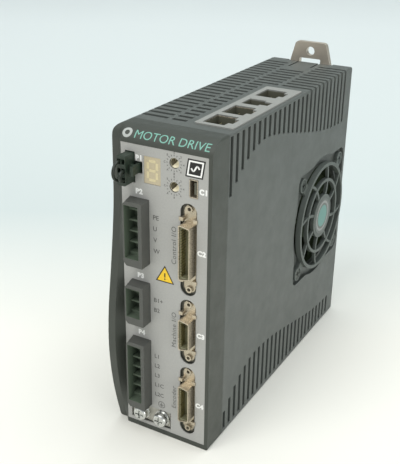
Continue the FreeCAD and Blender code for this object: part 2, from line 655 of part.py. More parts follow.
def ribbon_contacts(centre, ways):
    """Two rows of flat springs on the walls of the slot."""
    strips = []
    rows = ways // 2
    outer = RIBBON_SLOT_WIDTH / 2
    inner = outer - 0.25
    front = RIBBON_SHELL_FRONT_Y + 0.9
    for index in range(rows):
        z = centre + (index - (rows - 1) / 2) * RIBBON_PITCH
        for x0, x1 in ((-outer, -inner), (inner, outer)):
            strips.append(box(RIBBON_X + x0, RIBBON_X + x1, front, RIBBON_SLOT_FLOOR_Y, z - 0.32, z + 0.32))
    return strips


def ribbon_clips(centre, ways):
    """Bent lugs at both ends of the sleeve: each stands on the flange and hooks over the panel."""
    clips = []
    back = RIBBON_FLANGE_Y[0]
    for side in (-1, 1):
        z = centre + side * (ribbon_length(ways) / 2 + 1.3)
        for hand in (-1, 1):
            stem = box(2.3, 3.7, -0.6, back, z - 0.8, z + 0.8)
            hook = box(3.6, 4.4, -0.6, 0.0, z - 0.8, z + 0.8)
            lug = fuse_all([stem, hook])
            lug = round_edges(lug, 0.25, Z_AXIS, lambda c: c.y < -0.5)
            if hand < 0:
                lug = lug.mirror(vec(0, 0, 0), X_AXIS)
            lug.translate(vec(RIBBON_X, 0, 0))
            clips.append(lug)
    return clips


def build_ribbons():
    contacts = []
    clips = []
    for name, (centre, ways) in RIBBONS.items():
        export(name + "_shell", ribbon_shell(centre, ways))
        export(name + "_insulator", ribbon_insulator(centre, ways))
        contacts += ribbon_contacts(centre, ways)
        clips += ribbon_clips(centre, ways)
    export("signal_contacts", *contacts)
    export("connector_clips", *clips)


# ---- display, code switches and mini socket ----
def display_bars():
    """Seven bars of one digit, as (x, z, width, height)."""
    cx = (DISPLAY_X[0] + DISPLAY_X[1]) / 2
    cz = (DISPLAY_Z[0] + DISPLAY_Z[1]) / 2
    half_w = 2.2
    half_h = 4.1
    bar = 1.15
    flat = [(cx, cz + dz, 2 * half_w - bar - 0.1, bar) for dz in (-half_h, 0, half_h)]
    upright = [(cx + sx * half_w, cz + sz * half_h / 2, bar, half_h - bar - 0.1)
               for sx in (-1, 1) for sz in (-1, 1)]
    return flat + upright


def switch_rotor(z):
    """A turning dial with a hollow cone in its face and an arrow for a screwdriver."""
    face = SWITCH_FACE_Y
    rotor = rod(SWITCH_ROTOR_RADIUS, vec(SWITCH_X, face, z), 3.7 - face, Y_AXIS)
    dish = Part.makeCone(SWITCH_ROTOR_RADIUS - 0.15, 0.6, 1.6, vec(SWITCH_X, face, z), Y_AXIS)
    slot = box(SWITCH_X - 0.3, SWITCH_X + 0.3, 0, 2.2, z - 1.1, z + 0.7)
    arrow = [vec(SWITCH_X - 0.75, 0, z + 0.4), vec(SWITCH_X + 0.75, 0, z + 0.4), vec(SWITCH_X, 0, z + 1.3)]
    return rotor.cut([dish, slot, prism(arrow, Y_AXIS, 2.2)])


def build_controls():
    body = box(DISPLAY_X[0], DISPLAY_X[1], 0.3, 6.0, DISPLAY_Z[0], DISPLAY_Z[1])
    bars = []
    for x, z, width, height in display_bars():
        bars.append(box(x - width / 2, x + width / 2, 0.2, 0.7, z - height / 2, z + height / 2))
    export("display_body", cut_all(body, bars))
    export("display_segments", *bars)

    cases = []
    for name, z in (("lower_switch_rotor", SWITCH_Z[0]), ("upper_switch_rotor", SWITCH_Z[1])):
        case = box(SWITCH_X - 4.4, SWITCH_X + 4.4, PANEL_THICKNESS + WALL + 0.2, 6.0, z - 4.4, z + 4.4)
        case = case.fuse(rod(SWITCH_HOLE_RADIUS - 0.05, vec(SWITCH_X, 0.9, z), 2.5, Y_AXIS))
        case = case.cut(rod(SWITCH_ROTOR_RADIUS + SWITCH_CLEARANCE, vec(SWITCH_X, 0, z), 4.0, Y_AXIS))
        cases.append(case)
        export(name, switch_rotor(z))
    export("switch_bodies", *cases)

    shell = box(USB_X[0], USB_X[1], -0.2, 6.0, USB_Z[0], USB_Z[1])
    shell = round_edges(shell, 0.7, Y_AXIS, lambda c: c.x < USB_X[0] + 1)
    room = box(USB_X[0] + 0.35, USB_X[1] - 0.35, -1, 5.6, USB_Z[0] + 0.35, USB_Z[1] - 0.35)
    export("usb_shell", shell.cut(room))
    x = (USB_X[0] + USB_X[1]) / 2
    tongue = box(x + 0.1, x + 1.1, 0.4, 5.6, USB_Z[0] + 1.4, USB_Z[1] - 1.4)
    export("usb_tongue", tongue)


# ---- safety plug ----
def wire_loop(x, z0, z1, front_y):
    """A short jumper wire that leaves the plug and turns back into it."""
    radius = (z1 - z0) / 2
    start_y = STO_BODY_FRONT_Y
    straight_y = front_y + radius
    bend = vec(x, front_y, (z0 + z1) / 2)
    circle = Part.Arc(vec(x, straight_y, z0), bend, vec(x, straight_y, z1)).toShape()
    low = Part.LineSegment(vec(x, start_y, z0), vec(x, straight_y, z0)).toShape()
    high = Part.LineSegment(vec(x, straight_y, z1), vec(x, start_y, z1)).toShape()
    path = Part.Wire([low, circle, high])
    section = Part.Wire([Part.Circle(vec(x, start_y, z0), Y_AXIS, STO_WIRE_RADIUS).toShape()])
    return path.makePipeShell([section], True, True)


def build_safety_plug():
    x0, x1 = STO_X
    z0, z1 = STO_Z
    gap = STO_CLEARANCE
    low, high = STO_LATCH_Z
    shroud = box(x0 - 1.1, x1 + 1.1, PANEL_THICKNESS + 0.2, 6.0, z0 - 1.1, z1 + 1.1)
    ramp = box(x1 + 1.0, STO_LATCH_X[0] - 0.35, -0.6, 2.4, low + 0.3, high - 0.3)
    room = box(x0 - gap, x1 + gap, -1, 5.4, z0 - gap, z1 + gap)
    export("sto_header", shroud.fuse(ramp).cut(room).removeSplitter())

    body = box(x0, x1, STO_BODY_FRONT_Y, STO_NOSE_BACK_Y, z0, z1)
    body = round_edges(body, 0.5, Y_AXIS)
    # the latch rocks in a groove at the end of a short web
    left, right = STO_LATCH_X
    pivot = vec(left, STO_PIVOT_Y, low)
    web = box(x1 - 0.5, left - 0.4, STO_PIVOT_Y - 0.8, STO_PIVOT_Y + 0.8, low, high)
    web = web.cut(rod(STO_PIVOT_RADIUS + 0.06, pivot - Z_AXIS, high - low + 2, Z_AXIS))
    ribs = [box(x0 - 0.3, x1 - 0.6, y, y + 0.7, z0 + 1.5, z1 - 1.5) for y in (-5.6, -4.2, -2.8)]
    plug = fuse_all([body, web] + ribs)
    columns, rows = sto_wire_places()
    front = STO_BODY_FRONT_Y
    holes = [box(x - 0.8, x + 0.8, front - 1, front + 2.2, z - 1.1, z + 1.1) for x in columns for z in rows]
    export("sto_plug", cut_all(plug, holes))
    export("sto_jumpers", sto_jumper(columns[0], rows[0], rows[2], front - 4.4),
           sto_jumper(columns[1], rows[0], rows[1], front - 2.7))

    lever = box(left, right, -6.2, 2.4, low, high)
    lever = round_edges(lever, 0.2, Z_AXIS, lambda c: c.y < -6)
    grip = box(left, right + 0.6, -6.2, -4.6, low, high)
    hook = box(left - 0.05, right + 0.2, 1.4, 2.4, low, high)
    barrel = rod(STO_PIVOT_RADIUS, pivot, high - low, Z_AXIS)
    export("sto_latch", fuse_all([lever, grip, hook, barrel]))


def sto_wire_places():
    """The two columns and three rows of wire holes in the face of the safety plug."""
    middle_x = (STO_X[0] + STO_X[1]) / 2
    middle_z = (STO_Z[0] + STO_Z[1]) / 2
    return (middle_x - 1.0, middle_x + 1.0), (middle_z - 4.0, middle_z, middle_z + 4.0)


def sto_jumper(x, z0, z1, front_y):
    """One jumper wire with both of its ends in the plug."""
    ends = [rod(STO_WIRE_RADIUS, vec(x, STO_BODY_FRONT_Y, z), 2.1, Y_AXIS) for z in (z0, z1)]
    return fuse_all([wire_loop(x, z0, z1, front_y)] + ends)


# ---- earth terminal ----
def build_ground():
    x0, x1 = GROUND_PLATE_X
    z0, z1 = GROUND_PLATE_Z
    plate = box(x0, x1, GROUND_PLATE_Y[0], GROUND_PLATE_Y[1], z0, z1)
    screws = []
    washers = []
    tools = []
    front = GROUND_PLATE_Y[0]
    for x in GROUND_SCREW_X:
        tools.append(rod(2.0, vec(x, 0, GROUND_SCREW_Z), 4, Y_AXIS))
        washer = pipe(3.9, 2.1, vec(x, front - 0.8, GROUND_SCREW_Z), 0.8, Y_AXIS)
        spring = pipe(3.3, 2.1, vec(x, front - 1.7, GROUND_SCREW_Z), 0.9, Y_AXIS)
        washers.append(washer.fuse(spring).removeSplitter())
        head_back = front - 1.7
        head = rod(SCREW_HEAD_RADIUS, vec(x, head_back - 2.5, GROUND_SCREW_Z), 2.5, Y_AXIS)
        rim = [e for e in head.Edges if abs(e.CenterOfMass.y - head_back + 2.5) < 0.01 and e.Length > 5]
        head = head.makeFillet(1.2, rim)
        shank = rod(1.95, vec(x, head_back, GROUND_SCREW_Z), 9.0, Y_AXIS)
        screw = head.fuse(shank)
        screws.append(cross_recess(screw, vec(x, head_back - 2.6, GROUND_SCREW_Z), Y_AXIS, 4.4, 1.5))
    export("ground_plate", cut_all(plate, tools))
    export("ground_screws", *screws)
    export("ground_washers", *washers)


# ---- fan ----
def build_fan():
    x1 = FAN_LEDGE_X[0]
    x0 = x1 - FAN_DEPTH
    half = FAN_SIZE / 2
    frame = box(x0, x1, FAN_Y - half, FAN_Y + half, FAN_Z - half, FAN_Z + half)
    frame = round_edges(frame, 4.0, X_AXIS)
    waist = pipe(60.0, 30.6, vec(x0 + 3, FAN_Y, FAN_Z), FAN_DEPTH - 6, X_AXIS)
    tools = [rod(FAN_DUCT_RADIUS, vec(x0 - 1, FAN_Y, FAN_Z), FAN_DEPTH + 2, X_AXIS), waist]
    for y, z in fan_hole_centres():
        tools.append(rod(1.9, vec(x0 - 1, y, z), FAN_DEPTH + 2, X_AXIS))
    frame = cut_all(frame, tools)
    base = rod(14.0, vec(x0, FAN_Y, FAN_Z), 2.0, X_AXIS)
    struts = []
    for index in range(4):
        strut = box(x0, x0 + 1.8, FAN_Y - 1.4, FAN_Y + 1.4, FAN_Z + 13.0, FAN_Z + FAN_DUCT_RADIUS + 0.8)
        strut.rotate(vec(x0, FAN_Y, FAN_Z), X_AXIS, 90 * index + 30)
        struts.append(strut)
    frame = fuse_all([frame, base] + struts)
    frame = frame.cut(rod(3.03, vec(x0 - 1, FAN_Y, FAN_Z), 5, X_AXIS))
    export("fan_frame", frame)

    bearing = pipe(3.0, SHAFT_RADIUS + SHAFT_CLEARANCE, vec(x0, FAN_Y, FAN_Z), 10.0, X_AXIS)
    export("fan_bearing", bearing)
    stator = pipe(4.6, 3.0, vec(x0 + 3.0, FAN_Y, FAN_Z), 6.5, X_AXIS)
    arms = []
    for index in range(4):
        arm = box(x0 + 3.6, x0 + 8.6, FAN_Y - 1.6, FAN_Y + 1.6, FAN_Z + 4.0, FAN_Z + 9.0)
        shoe = box(x0 + 3.6, x0 + 8.6, FAN_Y - 4.2, FAN_Y + 4.2, FAN_Z + 8.4, FAN_Z + 9.8)
        arm = arm.fuse(shoe)
        arm.rotate(vec(x0, FAN_Y, FAN_Z), X_AXIS, 90 * index)
        arms.append(arm)
    export("fan_stator", fuse_all([stator] + arms))

    hub = rod(14.0, vec(x0 + 2.8, FAN_Y, FAN_Z), 11.4, X_AXIS)
    hub = hub.cut(rod(12.4, vec(x0 + 1, FAN_Y, FAN_Z), 11.4, X_AXIS))
    hub_rim = [e for e in hub.Edges if e.CenterOfMass.x > x0 + 14 and e.Length > 80]
    hub = hub.makeFillet(1.2, hub_rim)
    shaft = rod(SHAFT_RADIUS, vec(x0 + 0.6, FAN_Y, FAN_Z), 12.4, X_AXIS)
    blades = []
    sweep = pipe(FAN_DUCT_RADIUS - 0.7, 13.2, vec(x0, FAN_Y, FAN_Z), FAN_DEPTH, X_AXIS)
    for index in range(7):
        root = fan_blade_section(x0, 10.0, 5.2, -2.0)
        tip = fan_blade_section(x0, 29.5, 8.6, 2.0)
        blade = Part.makeLoft([root, tip], True, True).common(sweep)
        blade.rotate(vec(x0, FAN_Y, FAN_Z), X_AXIS, index * 360.0 / 7)
        blades.append(blade)
    export("fan_rotor", fuse_all([hub, shaft] + blades))


def fan_blade_section(x0, radius, chord, lead):
    """Slanted thin section of a blade, across the radius at the top of the hub."""
    z = FAN_Z + radius
    low = x0 + 3.6
    high = x0 + 13.2
    points = [vec(low, FAN_Y + lead - chord, z), vec(low, FAN_Y + lead - chord + 1.3, z),
              vec(high, FAN_Y + lead + chord, z), vec(high, FAN_Y + lead + chord - 1.3, z)]
    return Part.makePolygon(points + [points[0]])


def polar(x, radius, angle):
    """A point on a circle about the fan's axis; 0 degrees points back, 90 up."""
    turn = math.radians(angle)
    return vec(x, FAN_Y + radius * math.cos(turn), FAN_Z + radius * math.sin(turn))


def curved_spoke(angle):
    """One spoke that leans as it leaves the hub and straightens towards the outer ring."""
    x = GUARD_X[0] + 0.9
    outlines = []
    for offset in (-1, 1):
        edge = []
        for radius, lean in ((11.4, 10.5), (19.8, 9.0), (28.4, 0.0)):
            side = math.degrees(offset * SPOKE_WIDTH / 2 / radius)
            edge.append(polar(x, radius, angle - lean + side))
        outlines.append(edge)
    first, second = outlines
    edges = [Part.Arc(*first).toShape(), Part.LineSegment(first[2], second[2]).toShape(),
             Part.Arc(*reversed(second)).toShape(), Part.LineSegment(second[0], first[0]).toShape()]
    return Part.Face(Part.Wire(edges)).extrude(X_AXIS * 1.6)


def build_guard():
    x0, x1 = GUARD_X
    centre = vec(x0, FAN_Y, FAN_Z)
    parts = [pipe(GUARD_RING_RADII[0], GUARD_RING_RADII[1], centre, x1 - x0, X_AXIS),
             pipe(GUARD_MID_RADII[0], GUARD_MID_RADII[1], centre + X_AXIS * 0.8, x1 - x0 - 0.8, X_AXIS),
             rod(GUARD_HUB_RADIUS, centre + X_AXIS * 0.8, x1 - x0 - 0.8, X_AXIS)]
    parts += [curved_spoke(SPOKE_FIRST_ANGLE - 45 * index) for index in range(SPOKE_COUNT)]
    holes = []
    screws = []
    for y, z in fan_hole_centres():
        ear = rod(3.8, vec(FAN_LEDGE_X[1], y, z), 2.2, X_AXIS)
        angle = math.degrees(math.atan2(z - FAN_Z, y - FAN_Y))
        arm = box(FAN_LEDGE_X[1], x0 + 1.2, FAN_Y + 28.4, FAN_Y + 35.36, FAN_Z - 2.6, FAN_Z + 2.6)
        arm.rotate(vec(0, FAN_Y, FAN_Z), X_AXIS, angle)
        parts += [ear, arm]
        holes.append(rod(1.75, vec(FAN_LEDGE_X[1] - 1, y, z), 5, X_AXIS))
        holes.append(rod(3.0, vec(FAN_LEDGE_X[1] + 0.8, y, z), 5, X_AXIS))
        head = rod(2.8, vec(FAN_LEDGE_X[1] + 0.8, y, z), 1.3, X_AXIS)
        screw = head.fuse(rod(1.7, vec(FAN_LEDGE_X[1] + 0.8 - 14.0, y, z), 14.0, X_AXIS))
        cross = box(-0.1, 1.0, -1.4, 1.4, -0.35, 0.35)
        cross = cross.fuse(box(-0.1, 1.0, -0.35, 0.35, -1.4, 1.4))
        cross.translate(vec(FAN_LEDGE_X[1] + 1.3, y, z))
        screws.append(screw.cut(cross))
    holes.append(rod(10.0, centre + X_AXIS * (x1 - x0 - 0.5), 2, X_AXIS))
    export("fan_guard", cut_all(fuse_all(parts), holes))
    export("fan_screws", *screws)
    badge = rod(9.9, centre + X_AXIS * (x1 - x0 - 0.5), 0.6, X_AXIS)
    export("guard_badge", badge)


# ---- boards and parts inside ----
def build_boards():
    x = POWER_BOARD_X
    board = box(x, x + BOARD_THICKNESS, 4.0, 148.0, 13.0, 121.0)
    holes = []
    posts = []
    screws = []
    for y, z in BOARD_POSTS:
        holes.append(rod(1.7, vec(x - 1, y, z), 4, X_AXIS))
        posts.append(pipe(3.0, 1.4, vec(HEAT_SINK_FACE_X, y, z), x - HEAT_SINK_FACE_X, X_AXIS))
        screw = rod(2.7, vec(x + BOARD_THICKNESS, y, z), 1.8, X_AXIS)
        screws.append(screw.fuse(rod(1.4, vec(x + BOARD_THICKNESS - 6.0, y, z), 6.0, X_AXIS)))
    export("power_board", cut_all(board, holes))
    export("standoffs", *posts)
    export("board_screws", *screws)

    control = box(CONTROL_BOARD_X, CONTROL_BOARD_X + BOARD_THICKNESS, 3.2, 85.0, 6.0, 121.0)
    export("control_board", control)
    export("display_board", box(6.8, 45.0, 6.0, 6.0 + BOARD_THICKNESS, 122.6, 141.6))
    export("port_board", box(22.0, 46.8, 18.0, 92.0, 133.0 - BOARD_THICKNESS, 133.0))
    link_body = box(x + BOARD_THICKNESS, CONTROL_BOARD_X, 22.0, 27.0, 66.0, 96.0)
    export("board_link", link_body)


def build_heat_sink():
    face = HEAT_SINK_FACE_X
    low, high = HEAT_SINK_Z
    bars = [box(face - HEAT_SINK_BASE, face, 18.0, 152.6, low, high)]
    for index in range(FIN_COUNT):
        y = 20.0 + index * FIN_PITCH
        bars.append(box(2.3, face - HEAT_SINK_BASE + 0.5, y, y + 1.4, low, high))
    # flange that carries the mounting plate
    bars.append(box(face - 3.0, 22.0, 149.4, 152.9, low, high))
    sink = fuse_all(bars)
    tools = [rod(1.3, vec(PLATE_SCREW_X, 145, z), 12, Y_AXIS) for z in PLATE_SCREW_Z]
    tools += [rod(1.3, vec(face - 3.5, y, z), 5, X_AXIS) for y, z in MODULE_SCREWS]
    tools += [rod(1.4, vec(face - 3.5, y, z), 4, X_AXIS) for y, z in BOARD_POSTS]
    tools += [rod(1.5, vec(HOUSING_SCREW_X, y, 0), 10.0, Z_AXIS) for y in HOUSING_SCREW_Y]
    export("heat_sink", cut_all(sink, tools))

    screws = []
    for z in PLATE_SCREW_Z:
        head = Part.makeCone(1.5, 3.0, 1.4, vec(PLATE_SCREW_X, DEPTH - 1.45, z), Y_AXIS)
        screw = head.fuse(rod(1.25, vec(PLATE_SCREW_X, DEPTH - 8.0, z), 7.0, Y_AXIS))
        screws.append(screw)
    for y, z in MODULE_SCREWS:
        head = rod(2.7, vec(face + 3.0, y, z), 1.8, X_AXIS)
        screws.append(head.fuse(rod(1.25, vec(face - 2.6, y, z), 5.8, X_AXIS)))
    export("heat_sink_screws", *screws)

    module = box(face, face + 5.0, 64.0, 104.0, 78.0, 104.0)
    for side in (56.0, 103.0):
        module = module.fuse(box(face, face + 3.0, side, side + 9.0, 84.0, 98.0))
    module = module.removeSplitter()
    module = cut_all(module, [rod(1.5, vec(face - 1, y, z), 6, X_AXIS) for y, z in MODULE_SCREWS[:2]])
    export("power_module", module)
    bridge = box(face, face + 4.0, 62.0, 92.0, 26.0, 48.0)
    bridge = cut_all(bridge, [rod(1.5, vec(face - 1, y, z), 6, X_AXIS) for y, z in MODULE_SCREWS[2:]]
                     + [rod(3.2, vec(face + 3.0, y, z), 3, X_AXIS) for y, z in MODULE_SCREWS[2:]])
    export("rectifier_bridge", bridge)


def build_power_parts():
    start_x = POWER_BOARD_X + BOARD_THICKNESS
    cans = []
    for z in (24.0, 48.5, 112.0):
        can = rod(11.0, vec(start_x, 52.0, z), 25.0, X_AXIS)
        groove = pipe(12.0, 10.4, vec(start_x + 3.0, 52.0, z), 1.2, X_AXIS)
        cans.append(can.cut(groove))
    export("bus_capacitors", *cans)
    core = box(start_x, start_x + 12.0, 104.0, 126.0, 10.0, 32.0)
    core = core.cut(box(start_x + 3.0, start_x + 13.0, 103.0, 127.0, 13.0, 17.0))
    core = core.cut(box(start_x + 3.0, start_x + 13.0, 103.0, 127.0, 25.0, 29.0))
    export("transformer_core", core)
    coil = box(start_x + 3.1, start_x + 12.6, 102.6, 127.4, 13.1, 16.9)
    coil = coil.fuse(box(start_x + 3.1, start_x + 12.6, 102.6, 127.4, 25.1, 28.9))
    wrap = box(start_x + 12.1, start_x + 12.6, 102.6, 127.4, 13.1, 28.9)
    export("transformer_coil", coil.fuse(wrap).removeSplitter())
    choke = Part.makeTorus(9.0, 3.6, vec(start_x + 3.7, 122.0, 112.0), X_AXIS)
    export("line_choke", choke)


def main():
    os.makedirs("parts", exist_ok=True)
    build_case()
    build_fascia()
    build_top()
    build_back_plate()
    build_power_headers()
    build_ribbons()
    build_controls()
    build_safety_plug()
    build_ground()
    build_fan()
    build_guard()
    build_boards()
    build_heat_sink()
    build_power_parts()


main()
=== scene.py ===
import json
import math

import bmesh
import bpy
from mathutils import Matrix, Vector
from mathutils.bvhtree import BVHTree


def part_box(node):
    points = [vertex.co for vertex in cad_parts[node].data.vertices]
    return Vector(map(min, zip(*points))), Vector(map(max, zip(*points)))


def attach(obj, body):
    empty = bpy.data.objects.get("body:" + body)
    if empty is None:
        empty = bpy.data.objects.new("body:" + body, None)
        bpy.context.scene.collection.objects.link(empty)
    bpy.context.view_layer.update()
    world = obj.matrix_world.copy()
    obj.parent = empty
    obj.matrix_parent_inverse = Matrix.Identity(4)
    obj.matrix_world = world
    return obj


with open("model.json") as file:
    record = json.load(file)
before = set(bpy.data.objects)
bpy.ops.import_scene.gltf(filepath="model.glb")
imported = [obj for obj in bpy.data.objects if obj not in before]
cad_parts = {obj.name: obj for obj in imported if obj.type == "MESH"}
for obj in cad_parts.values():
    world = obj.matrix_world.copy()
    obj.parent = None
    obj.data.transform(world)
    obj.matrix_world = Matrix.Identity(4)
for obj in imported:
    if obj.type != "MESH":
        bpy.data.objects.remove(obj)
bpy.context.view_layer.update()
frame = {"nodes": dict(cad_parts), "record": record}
NODES = frame["nodes"]
MM = 0.001

# ---- places taken from the frame ----
PANEL_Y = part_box("front_panel")[0].y
HALF_WIDTH = round(-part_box("left_housing")[0].x / MM, 3)  # of the case, in millimetres

# ---- printed marks: sizes in millimetres, places from the case's left side and foot ----
INK = 0.03 * MM  # thickness of one layer of ink
PORT_HEIGHT = 2.6
PORT_NAMES = (
    ("P1", 15.0, 136.5), ("P2", 15.0, 121.7), ("P3", 15.0, 82.0), ("P4", 15.0, 53.0),
    ("C1", 45.8, 127.4), ("C2", 45.5, 100.0), ("C3", 45.5, 60.2), ("C4", 45.5, 23.3),
)
POLE_X, POLE_HEIGHT = 21.8, 2.1
POLE_ROWS = (  # level of the top pole, pitch, names downwards
    (111.3, 5.2, ("PE", "U", "V", "W")),
    (71.7, 5.0, ("B1+", "B2")),
    (42.6, 5.2, ("L1", "L2", "L3", "L1C", "L2C")),
)
CAPTION_X, CAPTION_HEIGHT = 32.0, 2.3
CAPTIONS = (("Control I/O", 100.6), ("Machine I/O", 59.4), ("Encoder", 23.5))
EARTH_PLACE = (25.3, 16.6)
CAUTION_PLACE = (27.5, 84.6)
BADGE_PLACE = (42.1, 136.7)
HEADER_NAME_X, HEADER_NAME_HEIGHT = 30.2, 3.8
HEADER_RING_X = 8.6


def middle(node):
    """Centre of a CAD node's box."""
    low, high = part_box(node)
    return (low + high) / 2


# ---- material helpers ----
class Maker:
    """A principled material with its node tree, and short ways to add nodes to it."""

    def __init__(self, name, color, roughness, metallic=0.0, specular=0.5):
        self.material = bpy.data.materials.new(name)
        self.material.use_nodes = True
        self.nodes = self.material.node_tree.nodes
        self.links = self.material.node_tree.links
        self.shader = self.nodes["Principled BSDF"]
        self.shader.inputs["Base Color"].default_value = (*color, 1)
        self.shader.inputs["Roughness"].default_value = roughness
        self.shader.inputs["Metallic"].default_value = metallic
        self.shader.inputs["Specular IOR Level"].default_value = specular
        self.place = self.nodes.new("ShaderNodeTexCoord").outputs["Object"]

    def stretched(self, scale):
        """Object coordinates, scaled by axis."""
        mapping = self.nodes.new("ShaderNodeMapping")
        mapping.inputs["Scale"].default_value = scale
        self.links.new(self.place, mapping.inputs["Vector"])
        return mapping.outputs["Vector"]

    def parts(self):
        """Object coordinates, one output for each axis."""
        node = self.nodes.new("ShaderNodeSeparateXYZ")
        self.links.new(self.place, node.inputs["Vector"])
        return node.outputs

    def noise(self, scale, detail=3.0, roughness=0.55, vector=None):
        """Cloudy values around 0.5, over object coordinates unless others are given."""
        node = self.nodes.new("ShaderNodeTexNoise")
        node.inputs["Scale"].default_value = scale
        node.inputs["Detail"].default_value = detail
        node.inputs["Roughness"].default_value = roughness
        self.links.new(vector or self.place, node.inputs["Vector"])
        return node.outputs["Fac"]

    def span(self, value, low, high, start=0.3, end=0.7):
        """A value between start and end, spread from low to high."""
        node = self.nodes.new("ShaderNodeMapRange")
        node.inputs["From Min"].default_value = start
        node.inputs["From Max"].default_value = end
        node.inputs["To Min"].default_value = low
        node.inputs["To Max"].default_value = high
        self.links.new(value, node.inputs["Value"])
        return node.outputs["Result"]

    def colors(self, value, *stops):
        """Colours over a value: each stop is a position and a colour, in rising order."""
        ramp = self.nodes.new("ShaderNodeValToRGB")
        elements = ramp.color_ramp.elements
        for (position, color), element in zip((stops[0], stops[-1]), elements):
            element.position = position
            element.color = (*color, 1)
        for position, color in stops[1:-1]:
            elements.new(position).color = (*color, 1)
        self.links.new(value, ramp.inputs["Fac"])
        return ramp.outputs["Color"]

    def tones(self, value, color, dark, pale):
        """One colour times dark to pale, over the middle of a noise."""
        return self.colors(value, (0.3, shade(color, dark)), (0.7, shade(color, pale)))

    def set(self, socket, output):
        """Feed one of the shader's sockets."""
        self.links.new(output, self.shader.inputs[socket])

    def edge_lean(self, smooth):
        """How far the rounded normal leans away from the true one: 0 on a flat, 1 on an edge."""
        geometry = self.nodes.new("ShaderNodeNewGeometry")
        product = self.nodes.new("ShaderNodeVectorMath")
        product.operation = "DOT_PRODUCT"
        self.links.new(geometry.outputs["Normal"], product.inputs[0])
        self.links.new(smooth, product.inputs[1])
        return self.span(product.outputs["Value"], 0.0, 1.0, start=0.97, end=0.80)

    def blend(self, factor, first, second):
        """First colour where the factor is 0, towards the second where it is 1."""
        mix = self.nodes.new("ShaderNodeMixRGB")
        self.links.new(factor, mix.inputs["Fac"])
        self.links.new(first, mix.inputs["Color1"])
        mix.inputs["Color2"].default_value = (*second, 1)
        return mix.outputs["Color"]

    def near(self, value, centre, reach):
        """1 where a value is within reach of the centre, and 0 elsewhere."""
        node = self.nodes.new("ShaderNodeMath")
        node.operation = "COMPARE"
        self.links.new(value, node.inputs[0])
        node.inputs[1].default_value = centre
        node.inputs[2].default_value = reach
        return node.outputs["Value"]

    def product(self, first, second):
        """One value times another."""
        node = self.nodes.new("ShaderNodeMath")
        node.operation = "MULTIPLY"
        self.links.new(first, node.inputs[0])
        self.links.new(second, node.inputs[1])
        return node.outputs["Value"]

    def rounded(self, radius):
        """Normals that are rounded over sharp edges."""
        node = self.nodes.new("ShaderNodeBevel")
        node.samples = 4
        node.inputs["Radius"].default_value = radius
        return node.outputs["Normal"]

    def bump(self, height, distance, normal=None):
        """Relief from a value, on the rounded normal if one is given."""
        node = self.nodes.new("ShaderNodeBump")
        if normal:
            self.links.new(normal, node.inputs["Normal"])
        node.inputs["Strength"].default_value = 1.0
        node.inputs["Distance"].default_value = distance
        self.links.new(height, node.inputs["Height"])
        self.set("Normal", node.outputs["Normal"])


def shade(color, factor):
    """The colour, darker or paler by a factor."""
    return tuple(min(1.0, c * factor) for c in color)


def moulded(name, color, roughness=0.55, spread=0.04, specular=0.45, edge=0.25, painted_recess=None):
    """Moulded plastic: a fine eroded grain, soft changes of tone, and edges made paler.

    The edge is its radius in millimetres. A painted recess is a centre and reach in X and in Z,
    and the colour painted inside them as painted light in the dim recess."""
    cloud, patch, grain = 28, 140, 2600  # noise scales of the tone, the gloss and the relief
    # the second value is how much paler the colour is made on edges
    relief, edge_paling = 0.02 * MM, 1.5
    m = Maker(name, color, roughness, specular=specular)
    tone = m.tones(m.noise(cloud, 4, 0.6), color, 1 - spread, 1 + spread)
    smooth = m.rounded(edge * MM)
    surface = m.blend(m.edge_lean(smooth), tone, shade(color, edge_paling))
    # painted light: faces inside the recess get the recess colour
    if painted_recess:
        centre, reach, inner = painted_recess
        axes = m.parts()
        in_painted_recess = m.product(m.near(axes["X"], centre[0], reach[0]),
                           m.near(axes["Z"], centre[1], reach[1]))
        surface = m.blend(in_painted_recess, surface, inner)
    m.set("Base Color", surface)
    m.set("Roughness", m.span(m.noise(patch), roughness - 0.06, roughness + 0.08))
    m.bump(m.noise(grain, 2, 0.5), relief, normal=smooth)
    return m.material


def sheet_metal(name, color, roughness=0.35, stretch=(1, 1, 12), spread=0.1, edge=0.15,
                metallic=1.0, depth=0.008):
    """Plated sheet: fine drawn lines one way, depth millimetres deep, with cloudy plating."""
    drawn, plating = 900, 90  # noise scales of the lines and the tone
    m = Maker(name, color, roughness, metallic)
    lines = m.noise(drawn, 3, 0.6, m.stretched(stretch))
    m.set("Base Color", m.tones(m.noise(plating, 4), color, 1 - spread, 1 + spread))
    m.set("Roughness", m.span(lines, roughness - 0.08, roughness + 0.12))
    m.bump(lines, depth * MM, normal=m.rounded(edge * MM))
    return m.material


def printed(name, color, roughness=0.5):
    """A printed film: flat colour with a slight fleck."""
    fleck, patch, grain = 1400, 60, 5200  # noise scales of the tone, the gloss and the relief
    relief = 0.006 * MM
    m = Maker(name, color, roughness, specular=0.4)
    m.set("Base Color", m.tones(m.noise(fleck, 2), color, 0.95, 1.04))
    m.set("Roughness", m.span(m.noise(patch), roughness - 0.05, roughness + 0.06))
    m.bump(m.noise(grain, 2), relief)
    return m.material


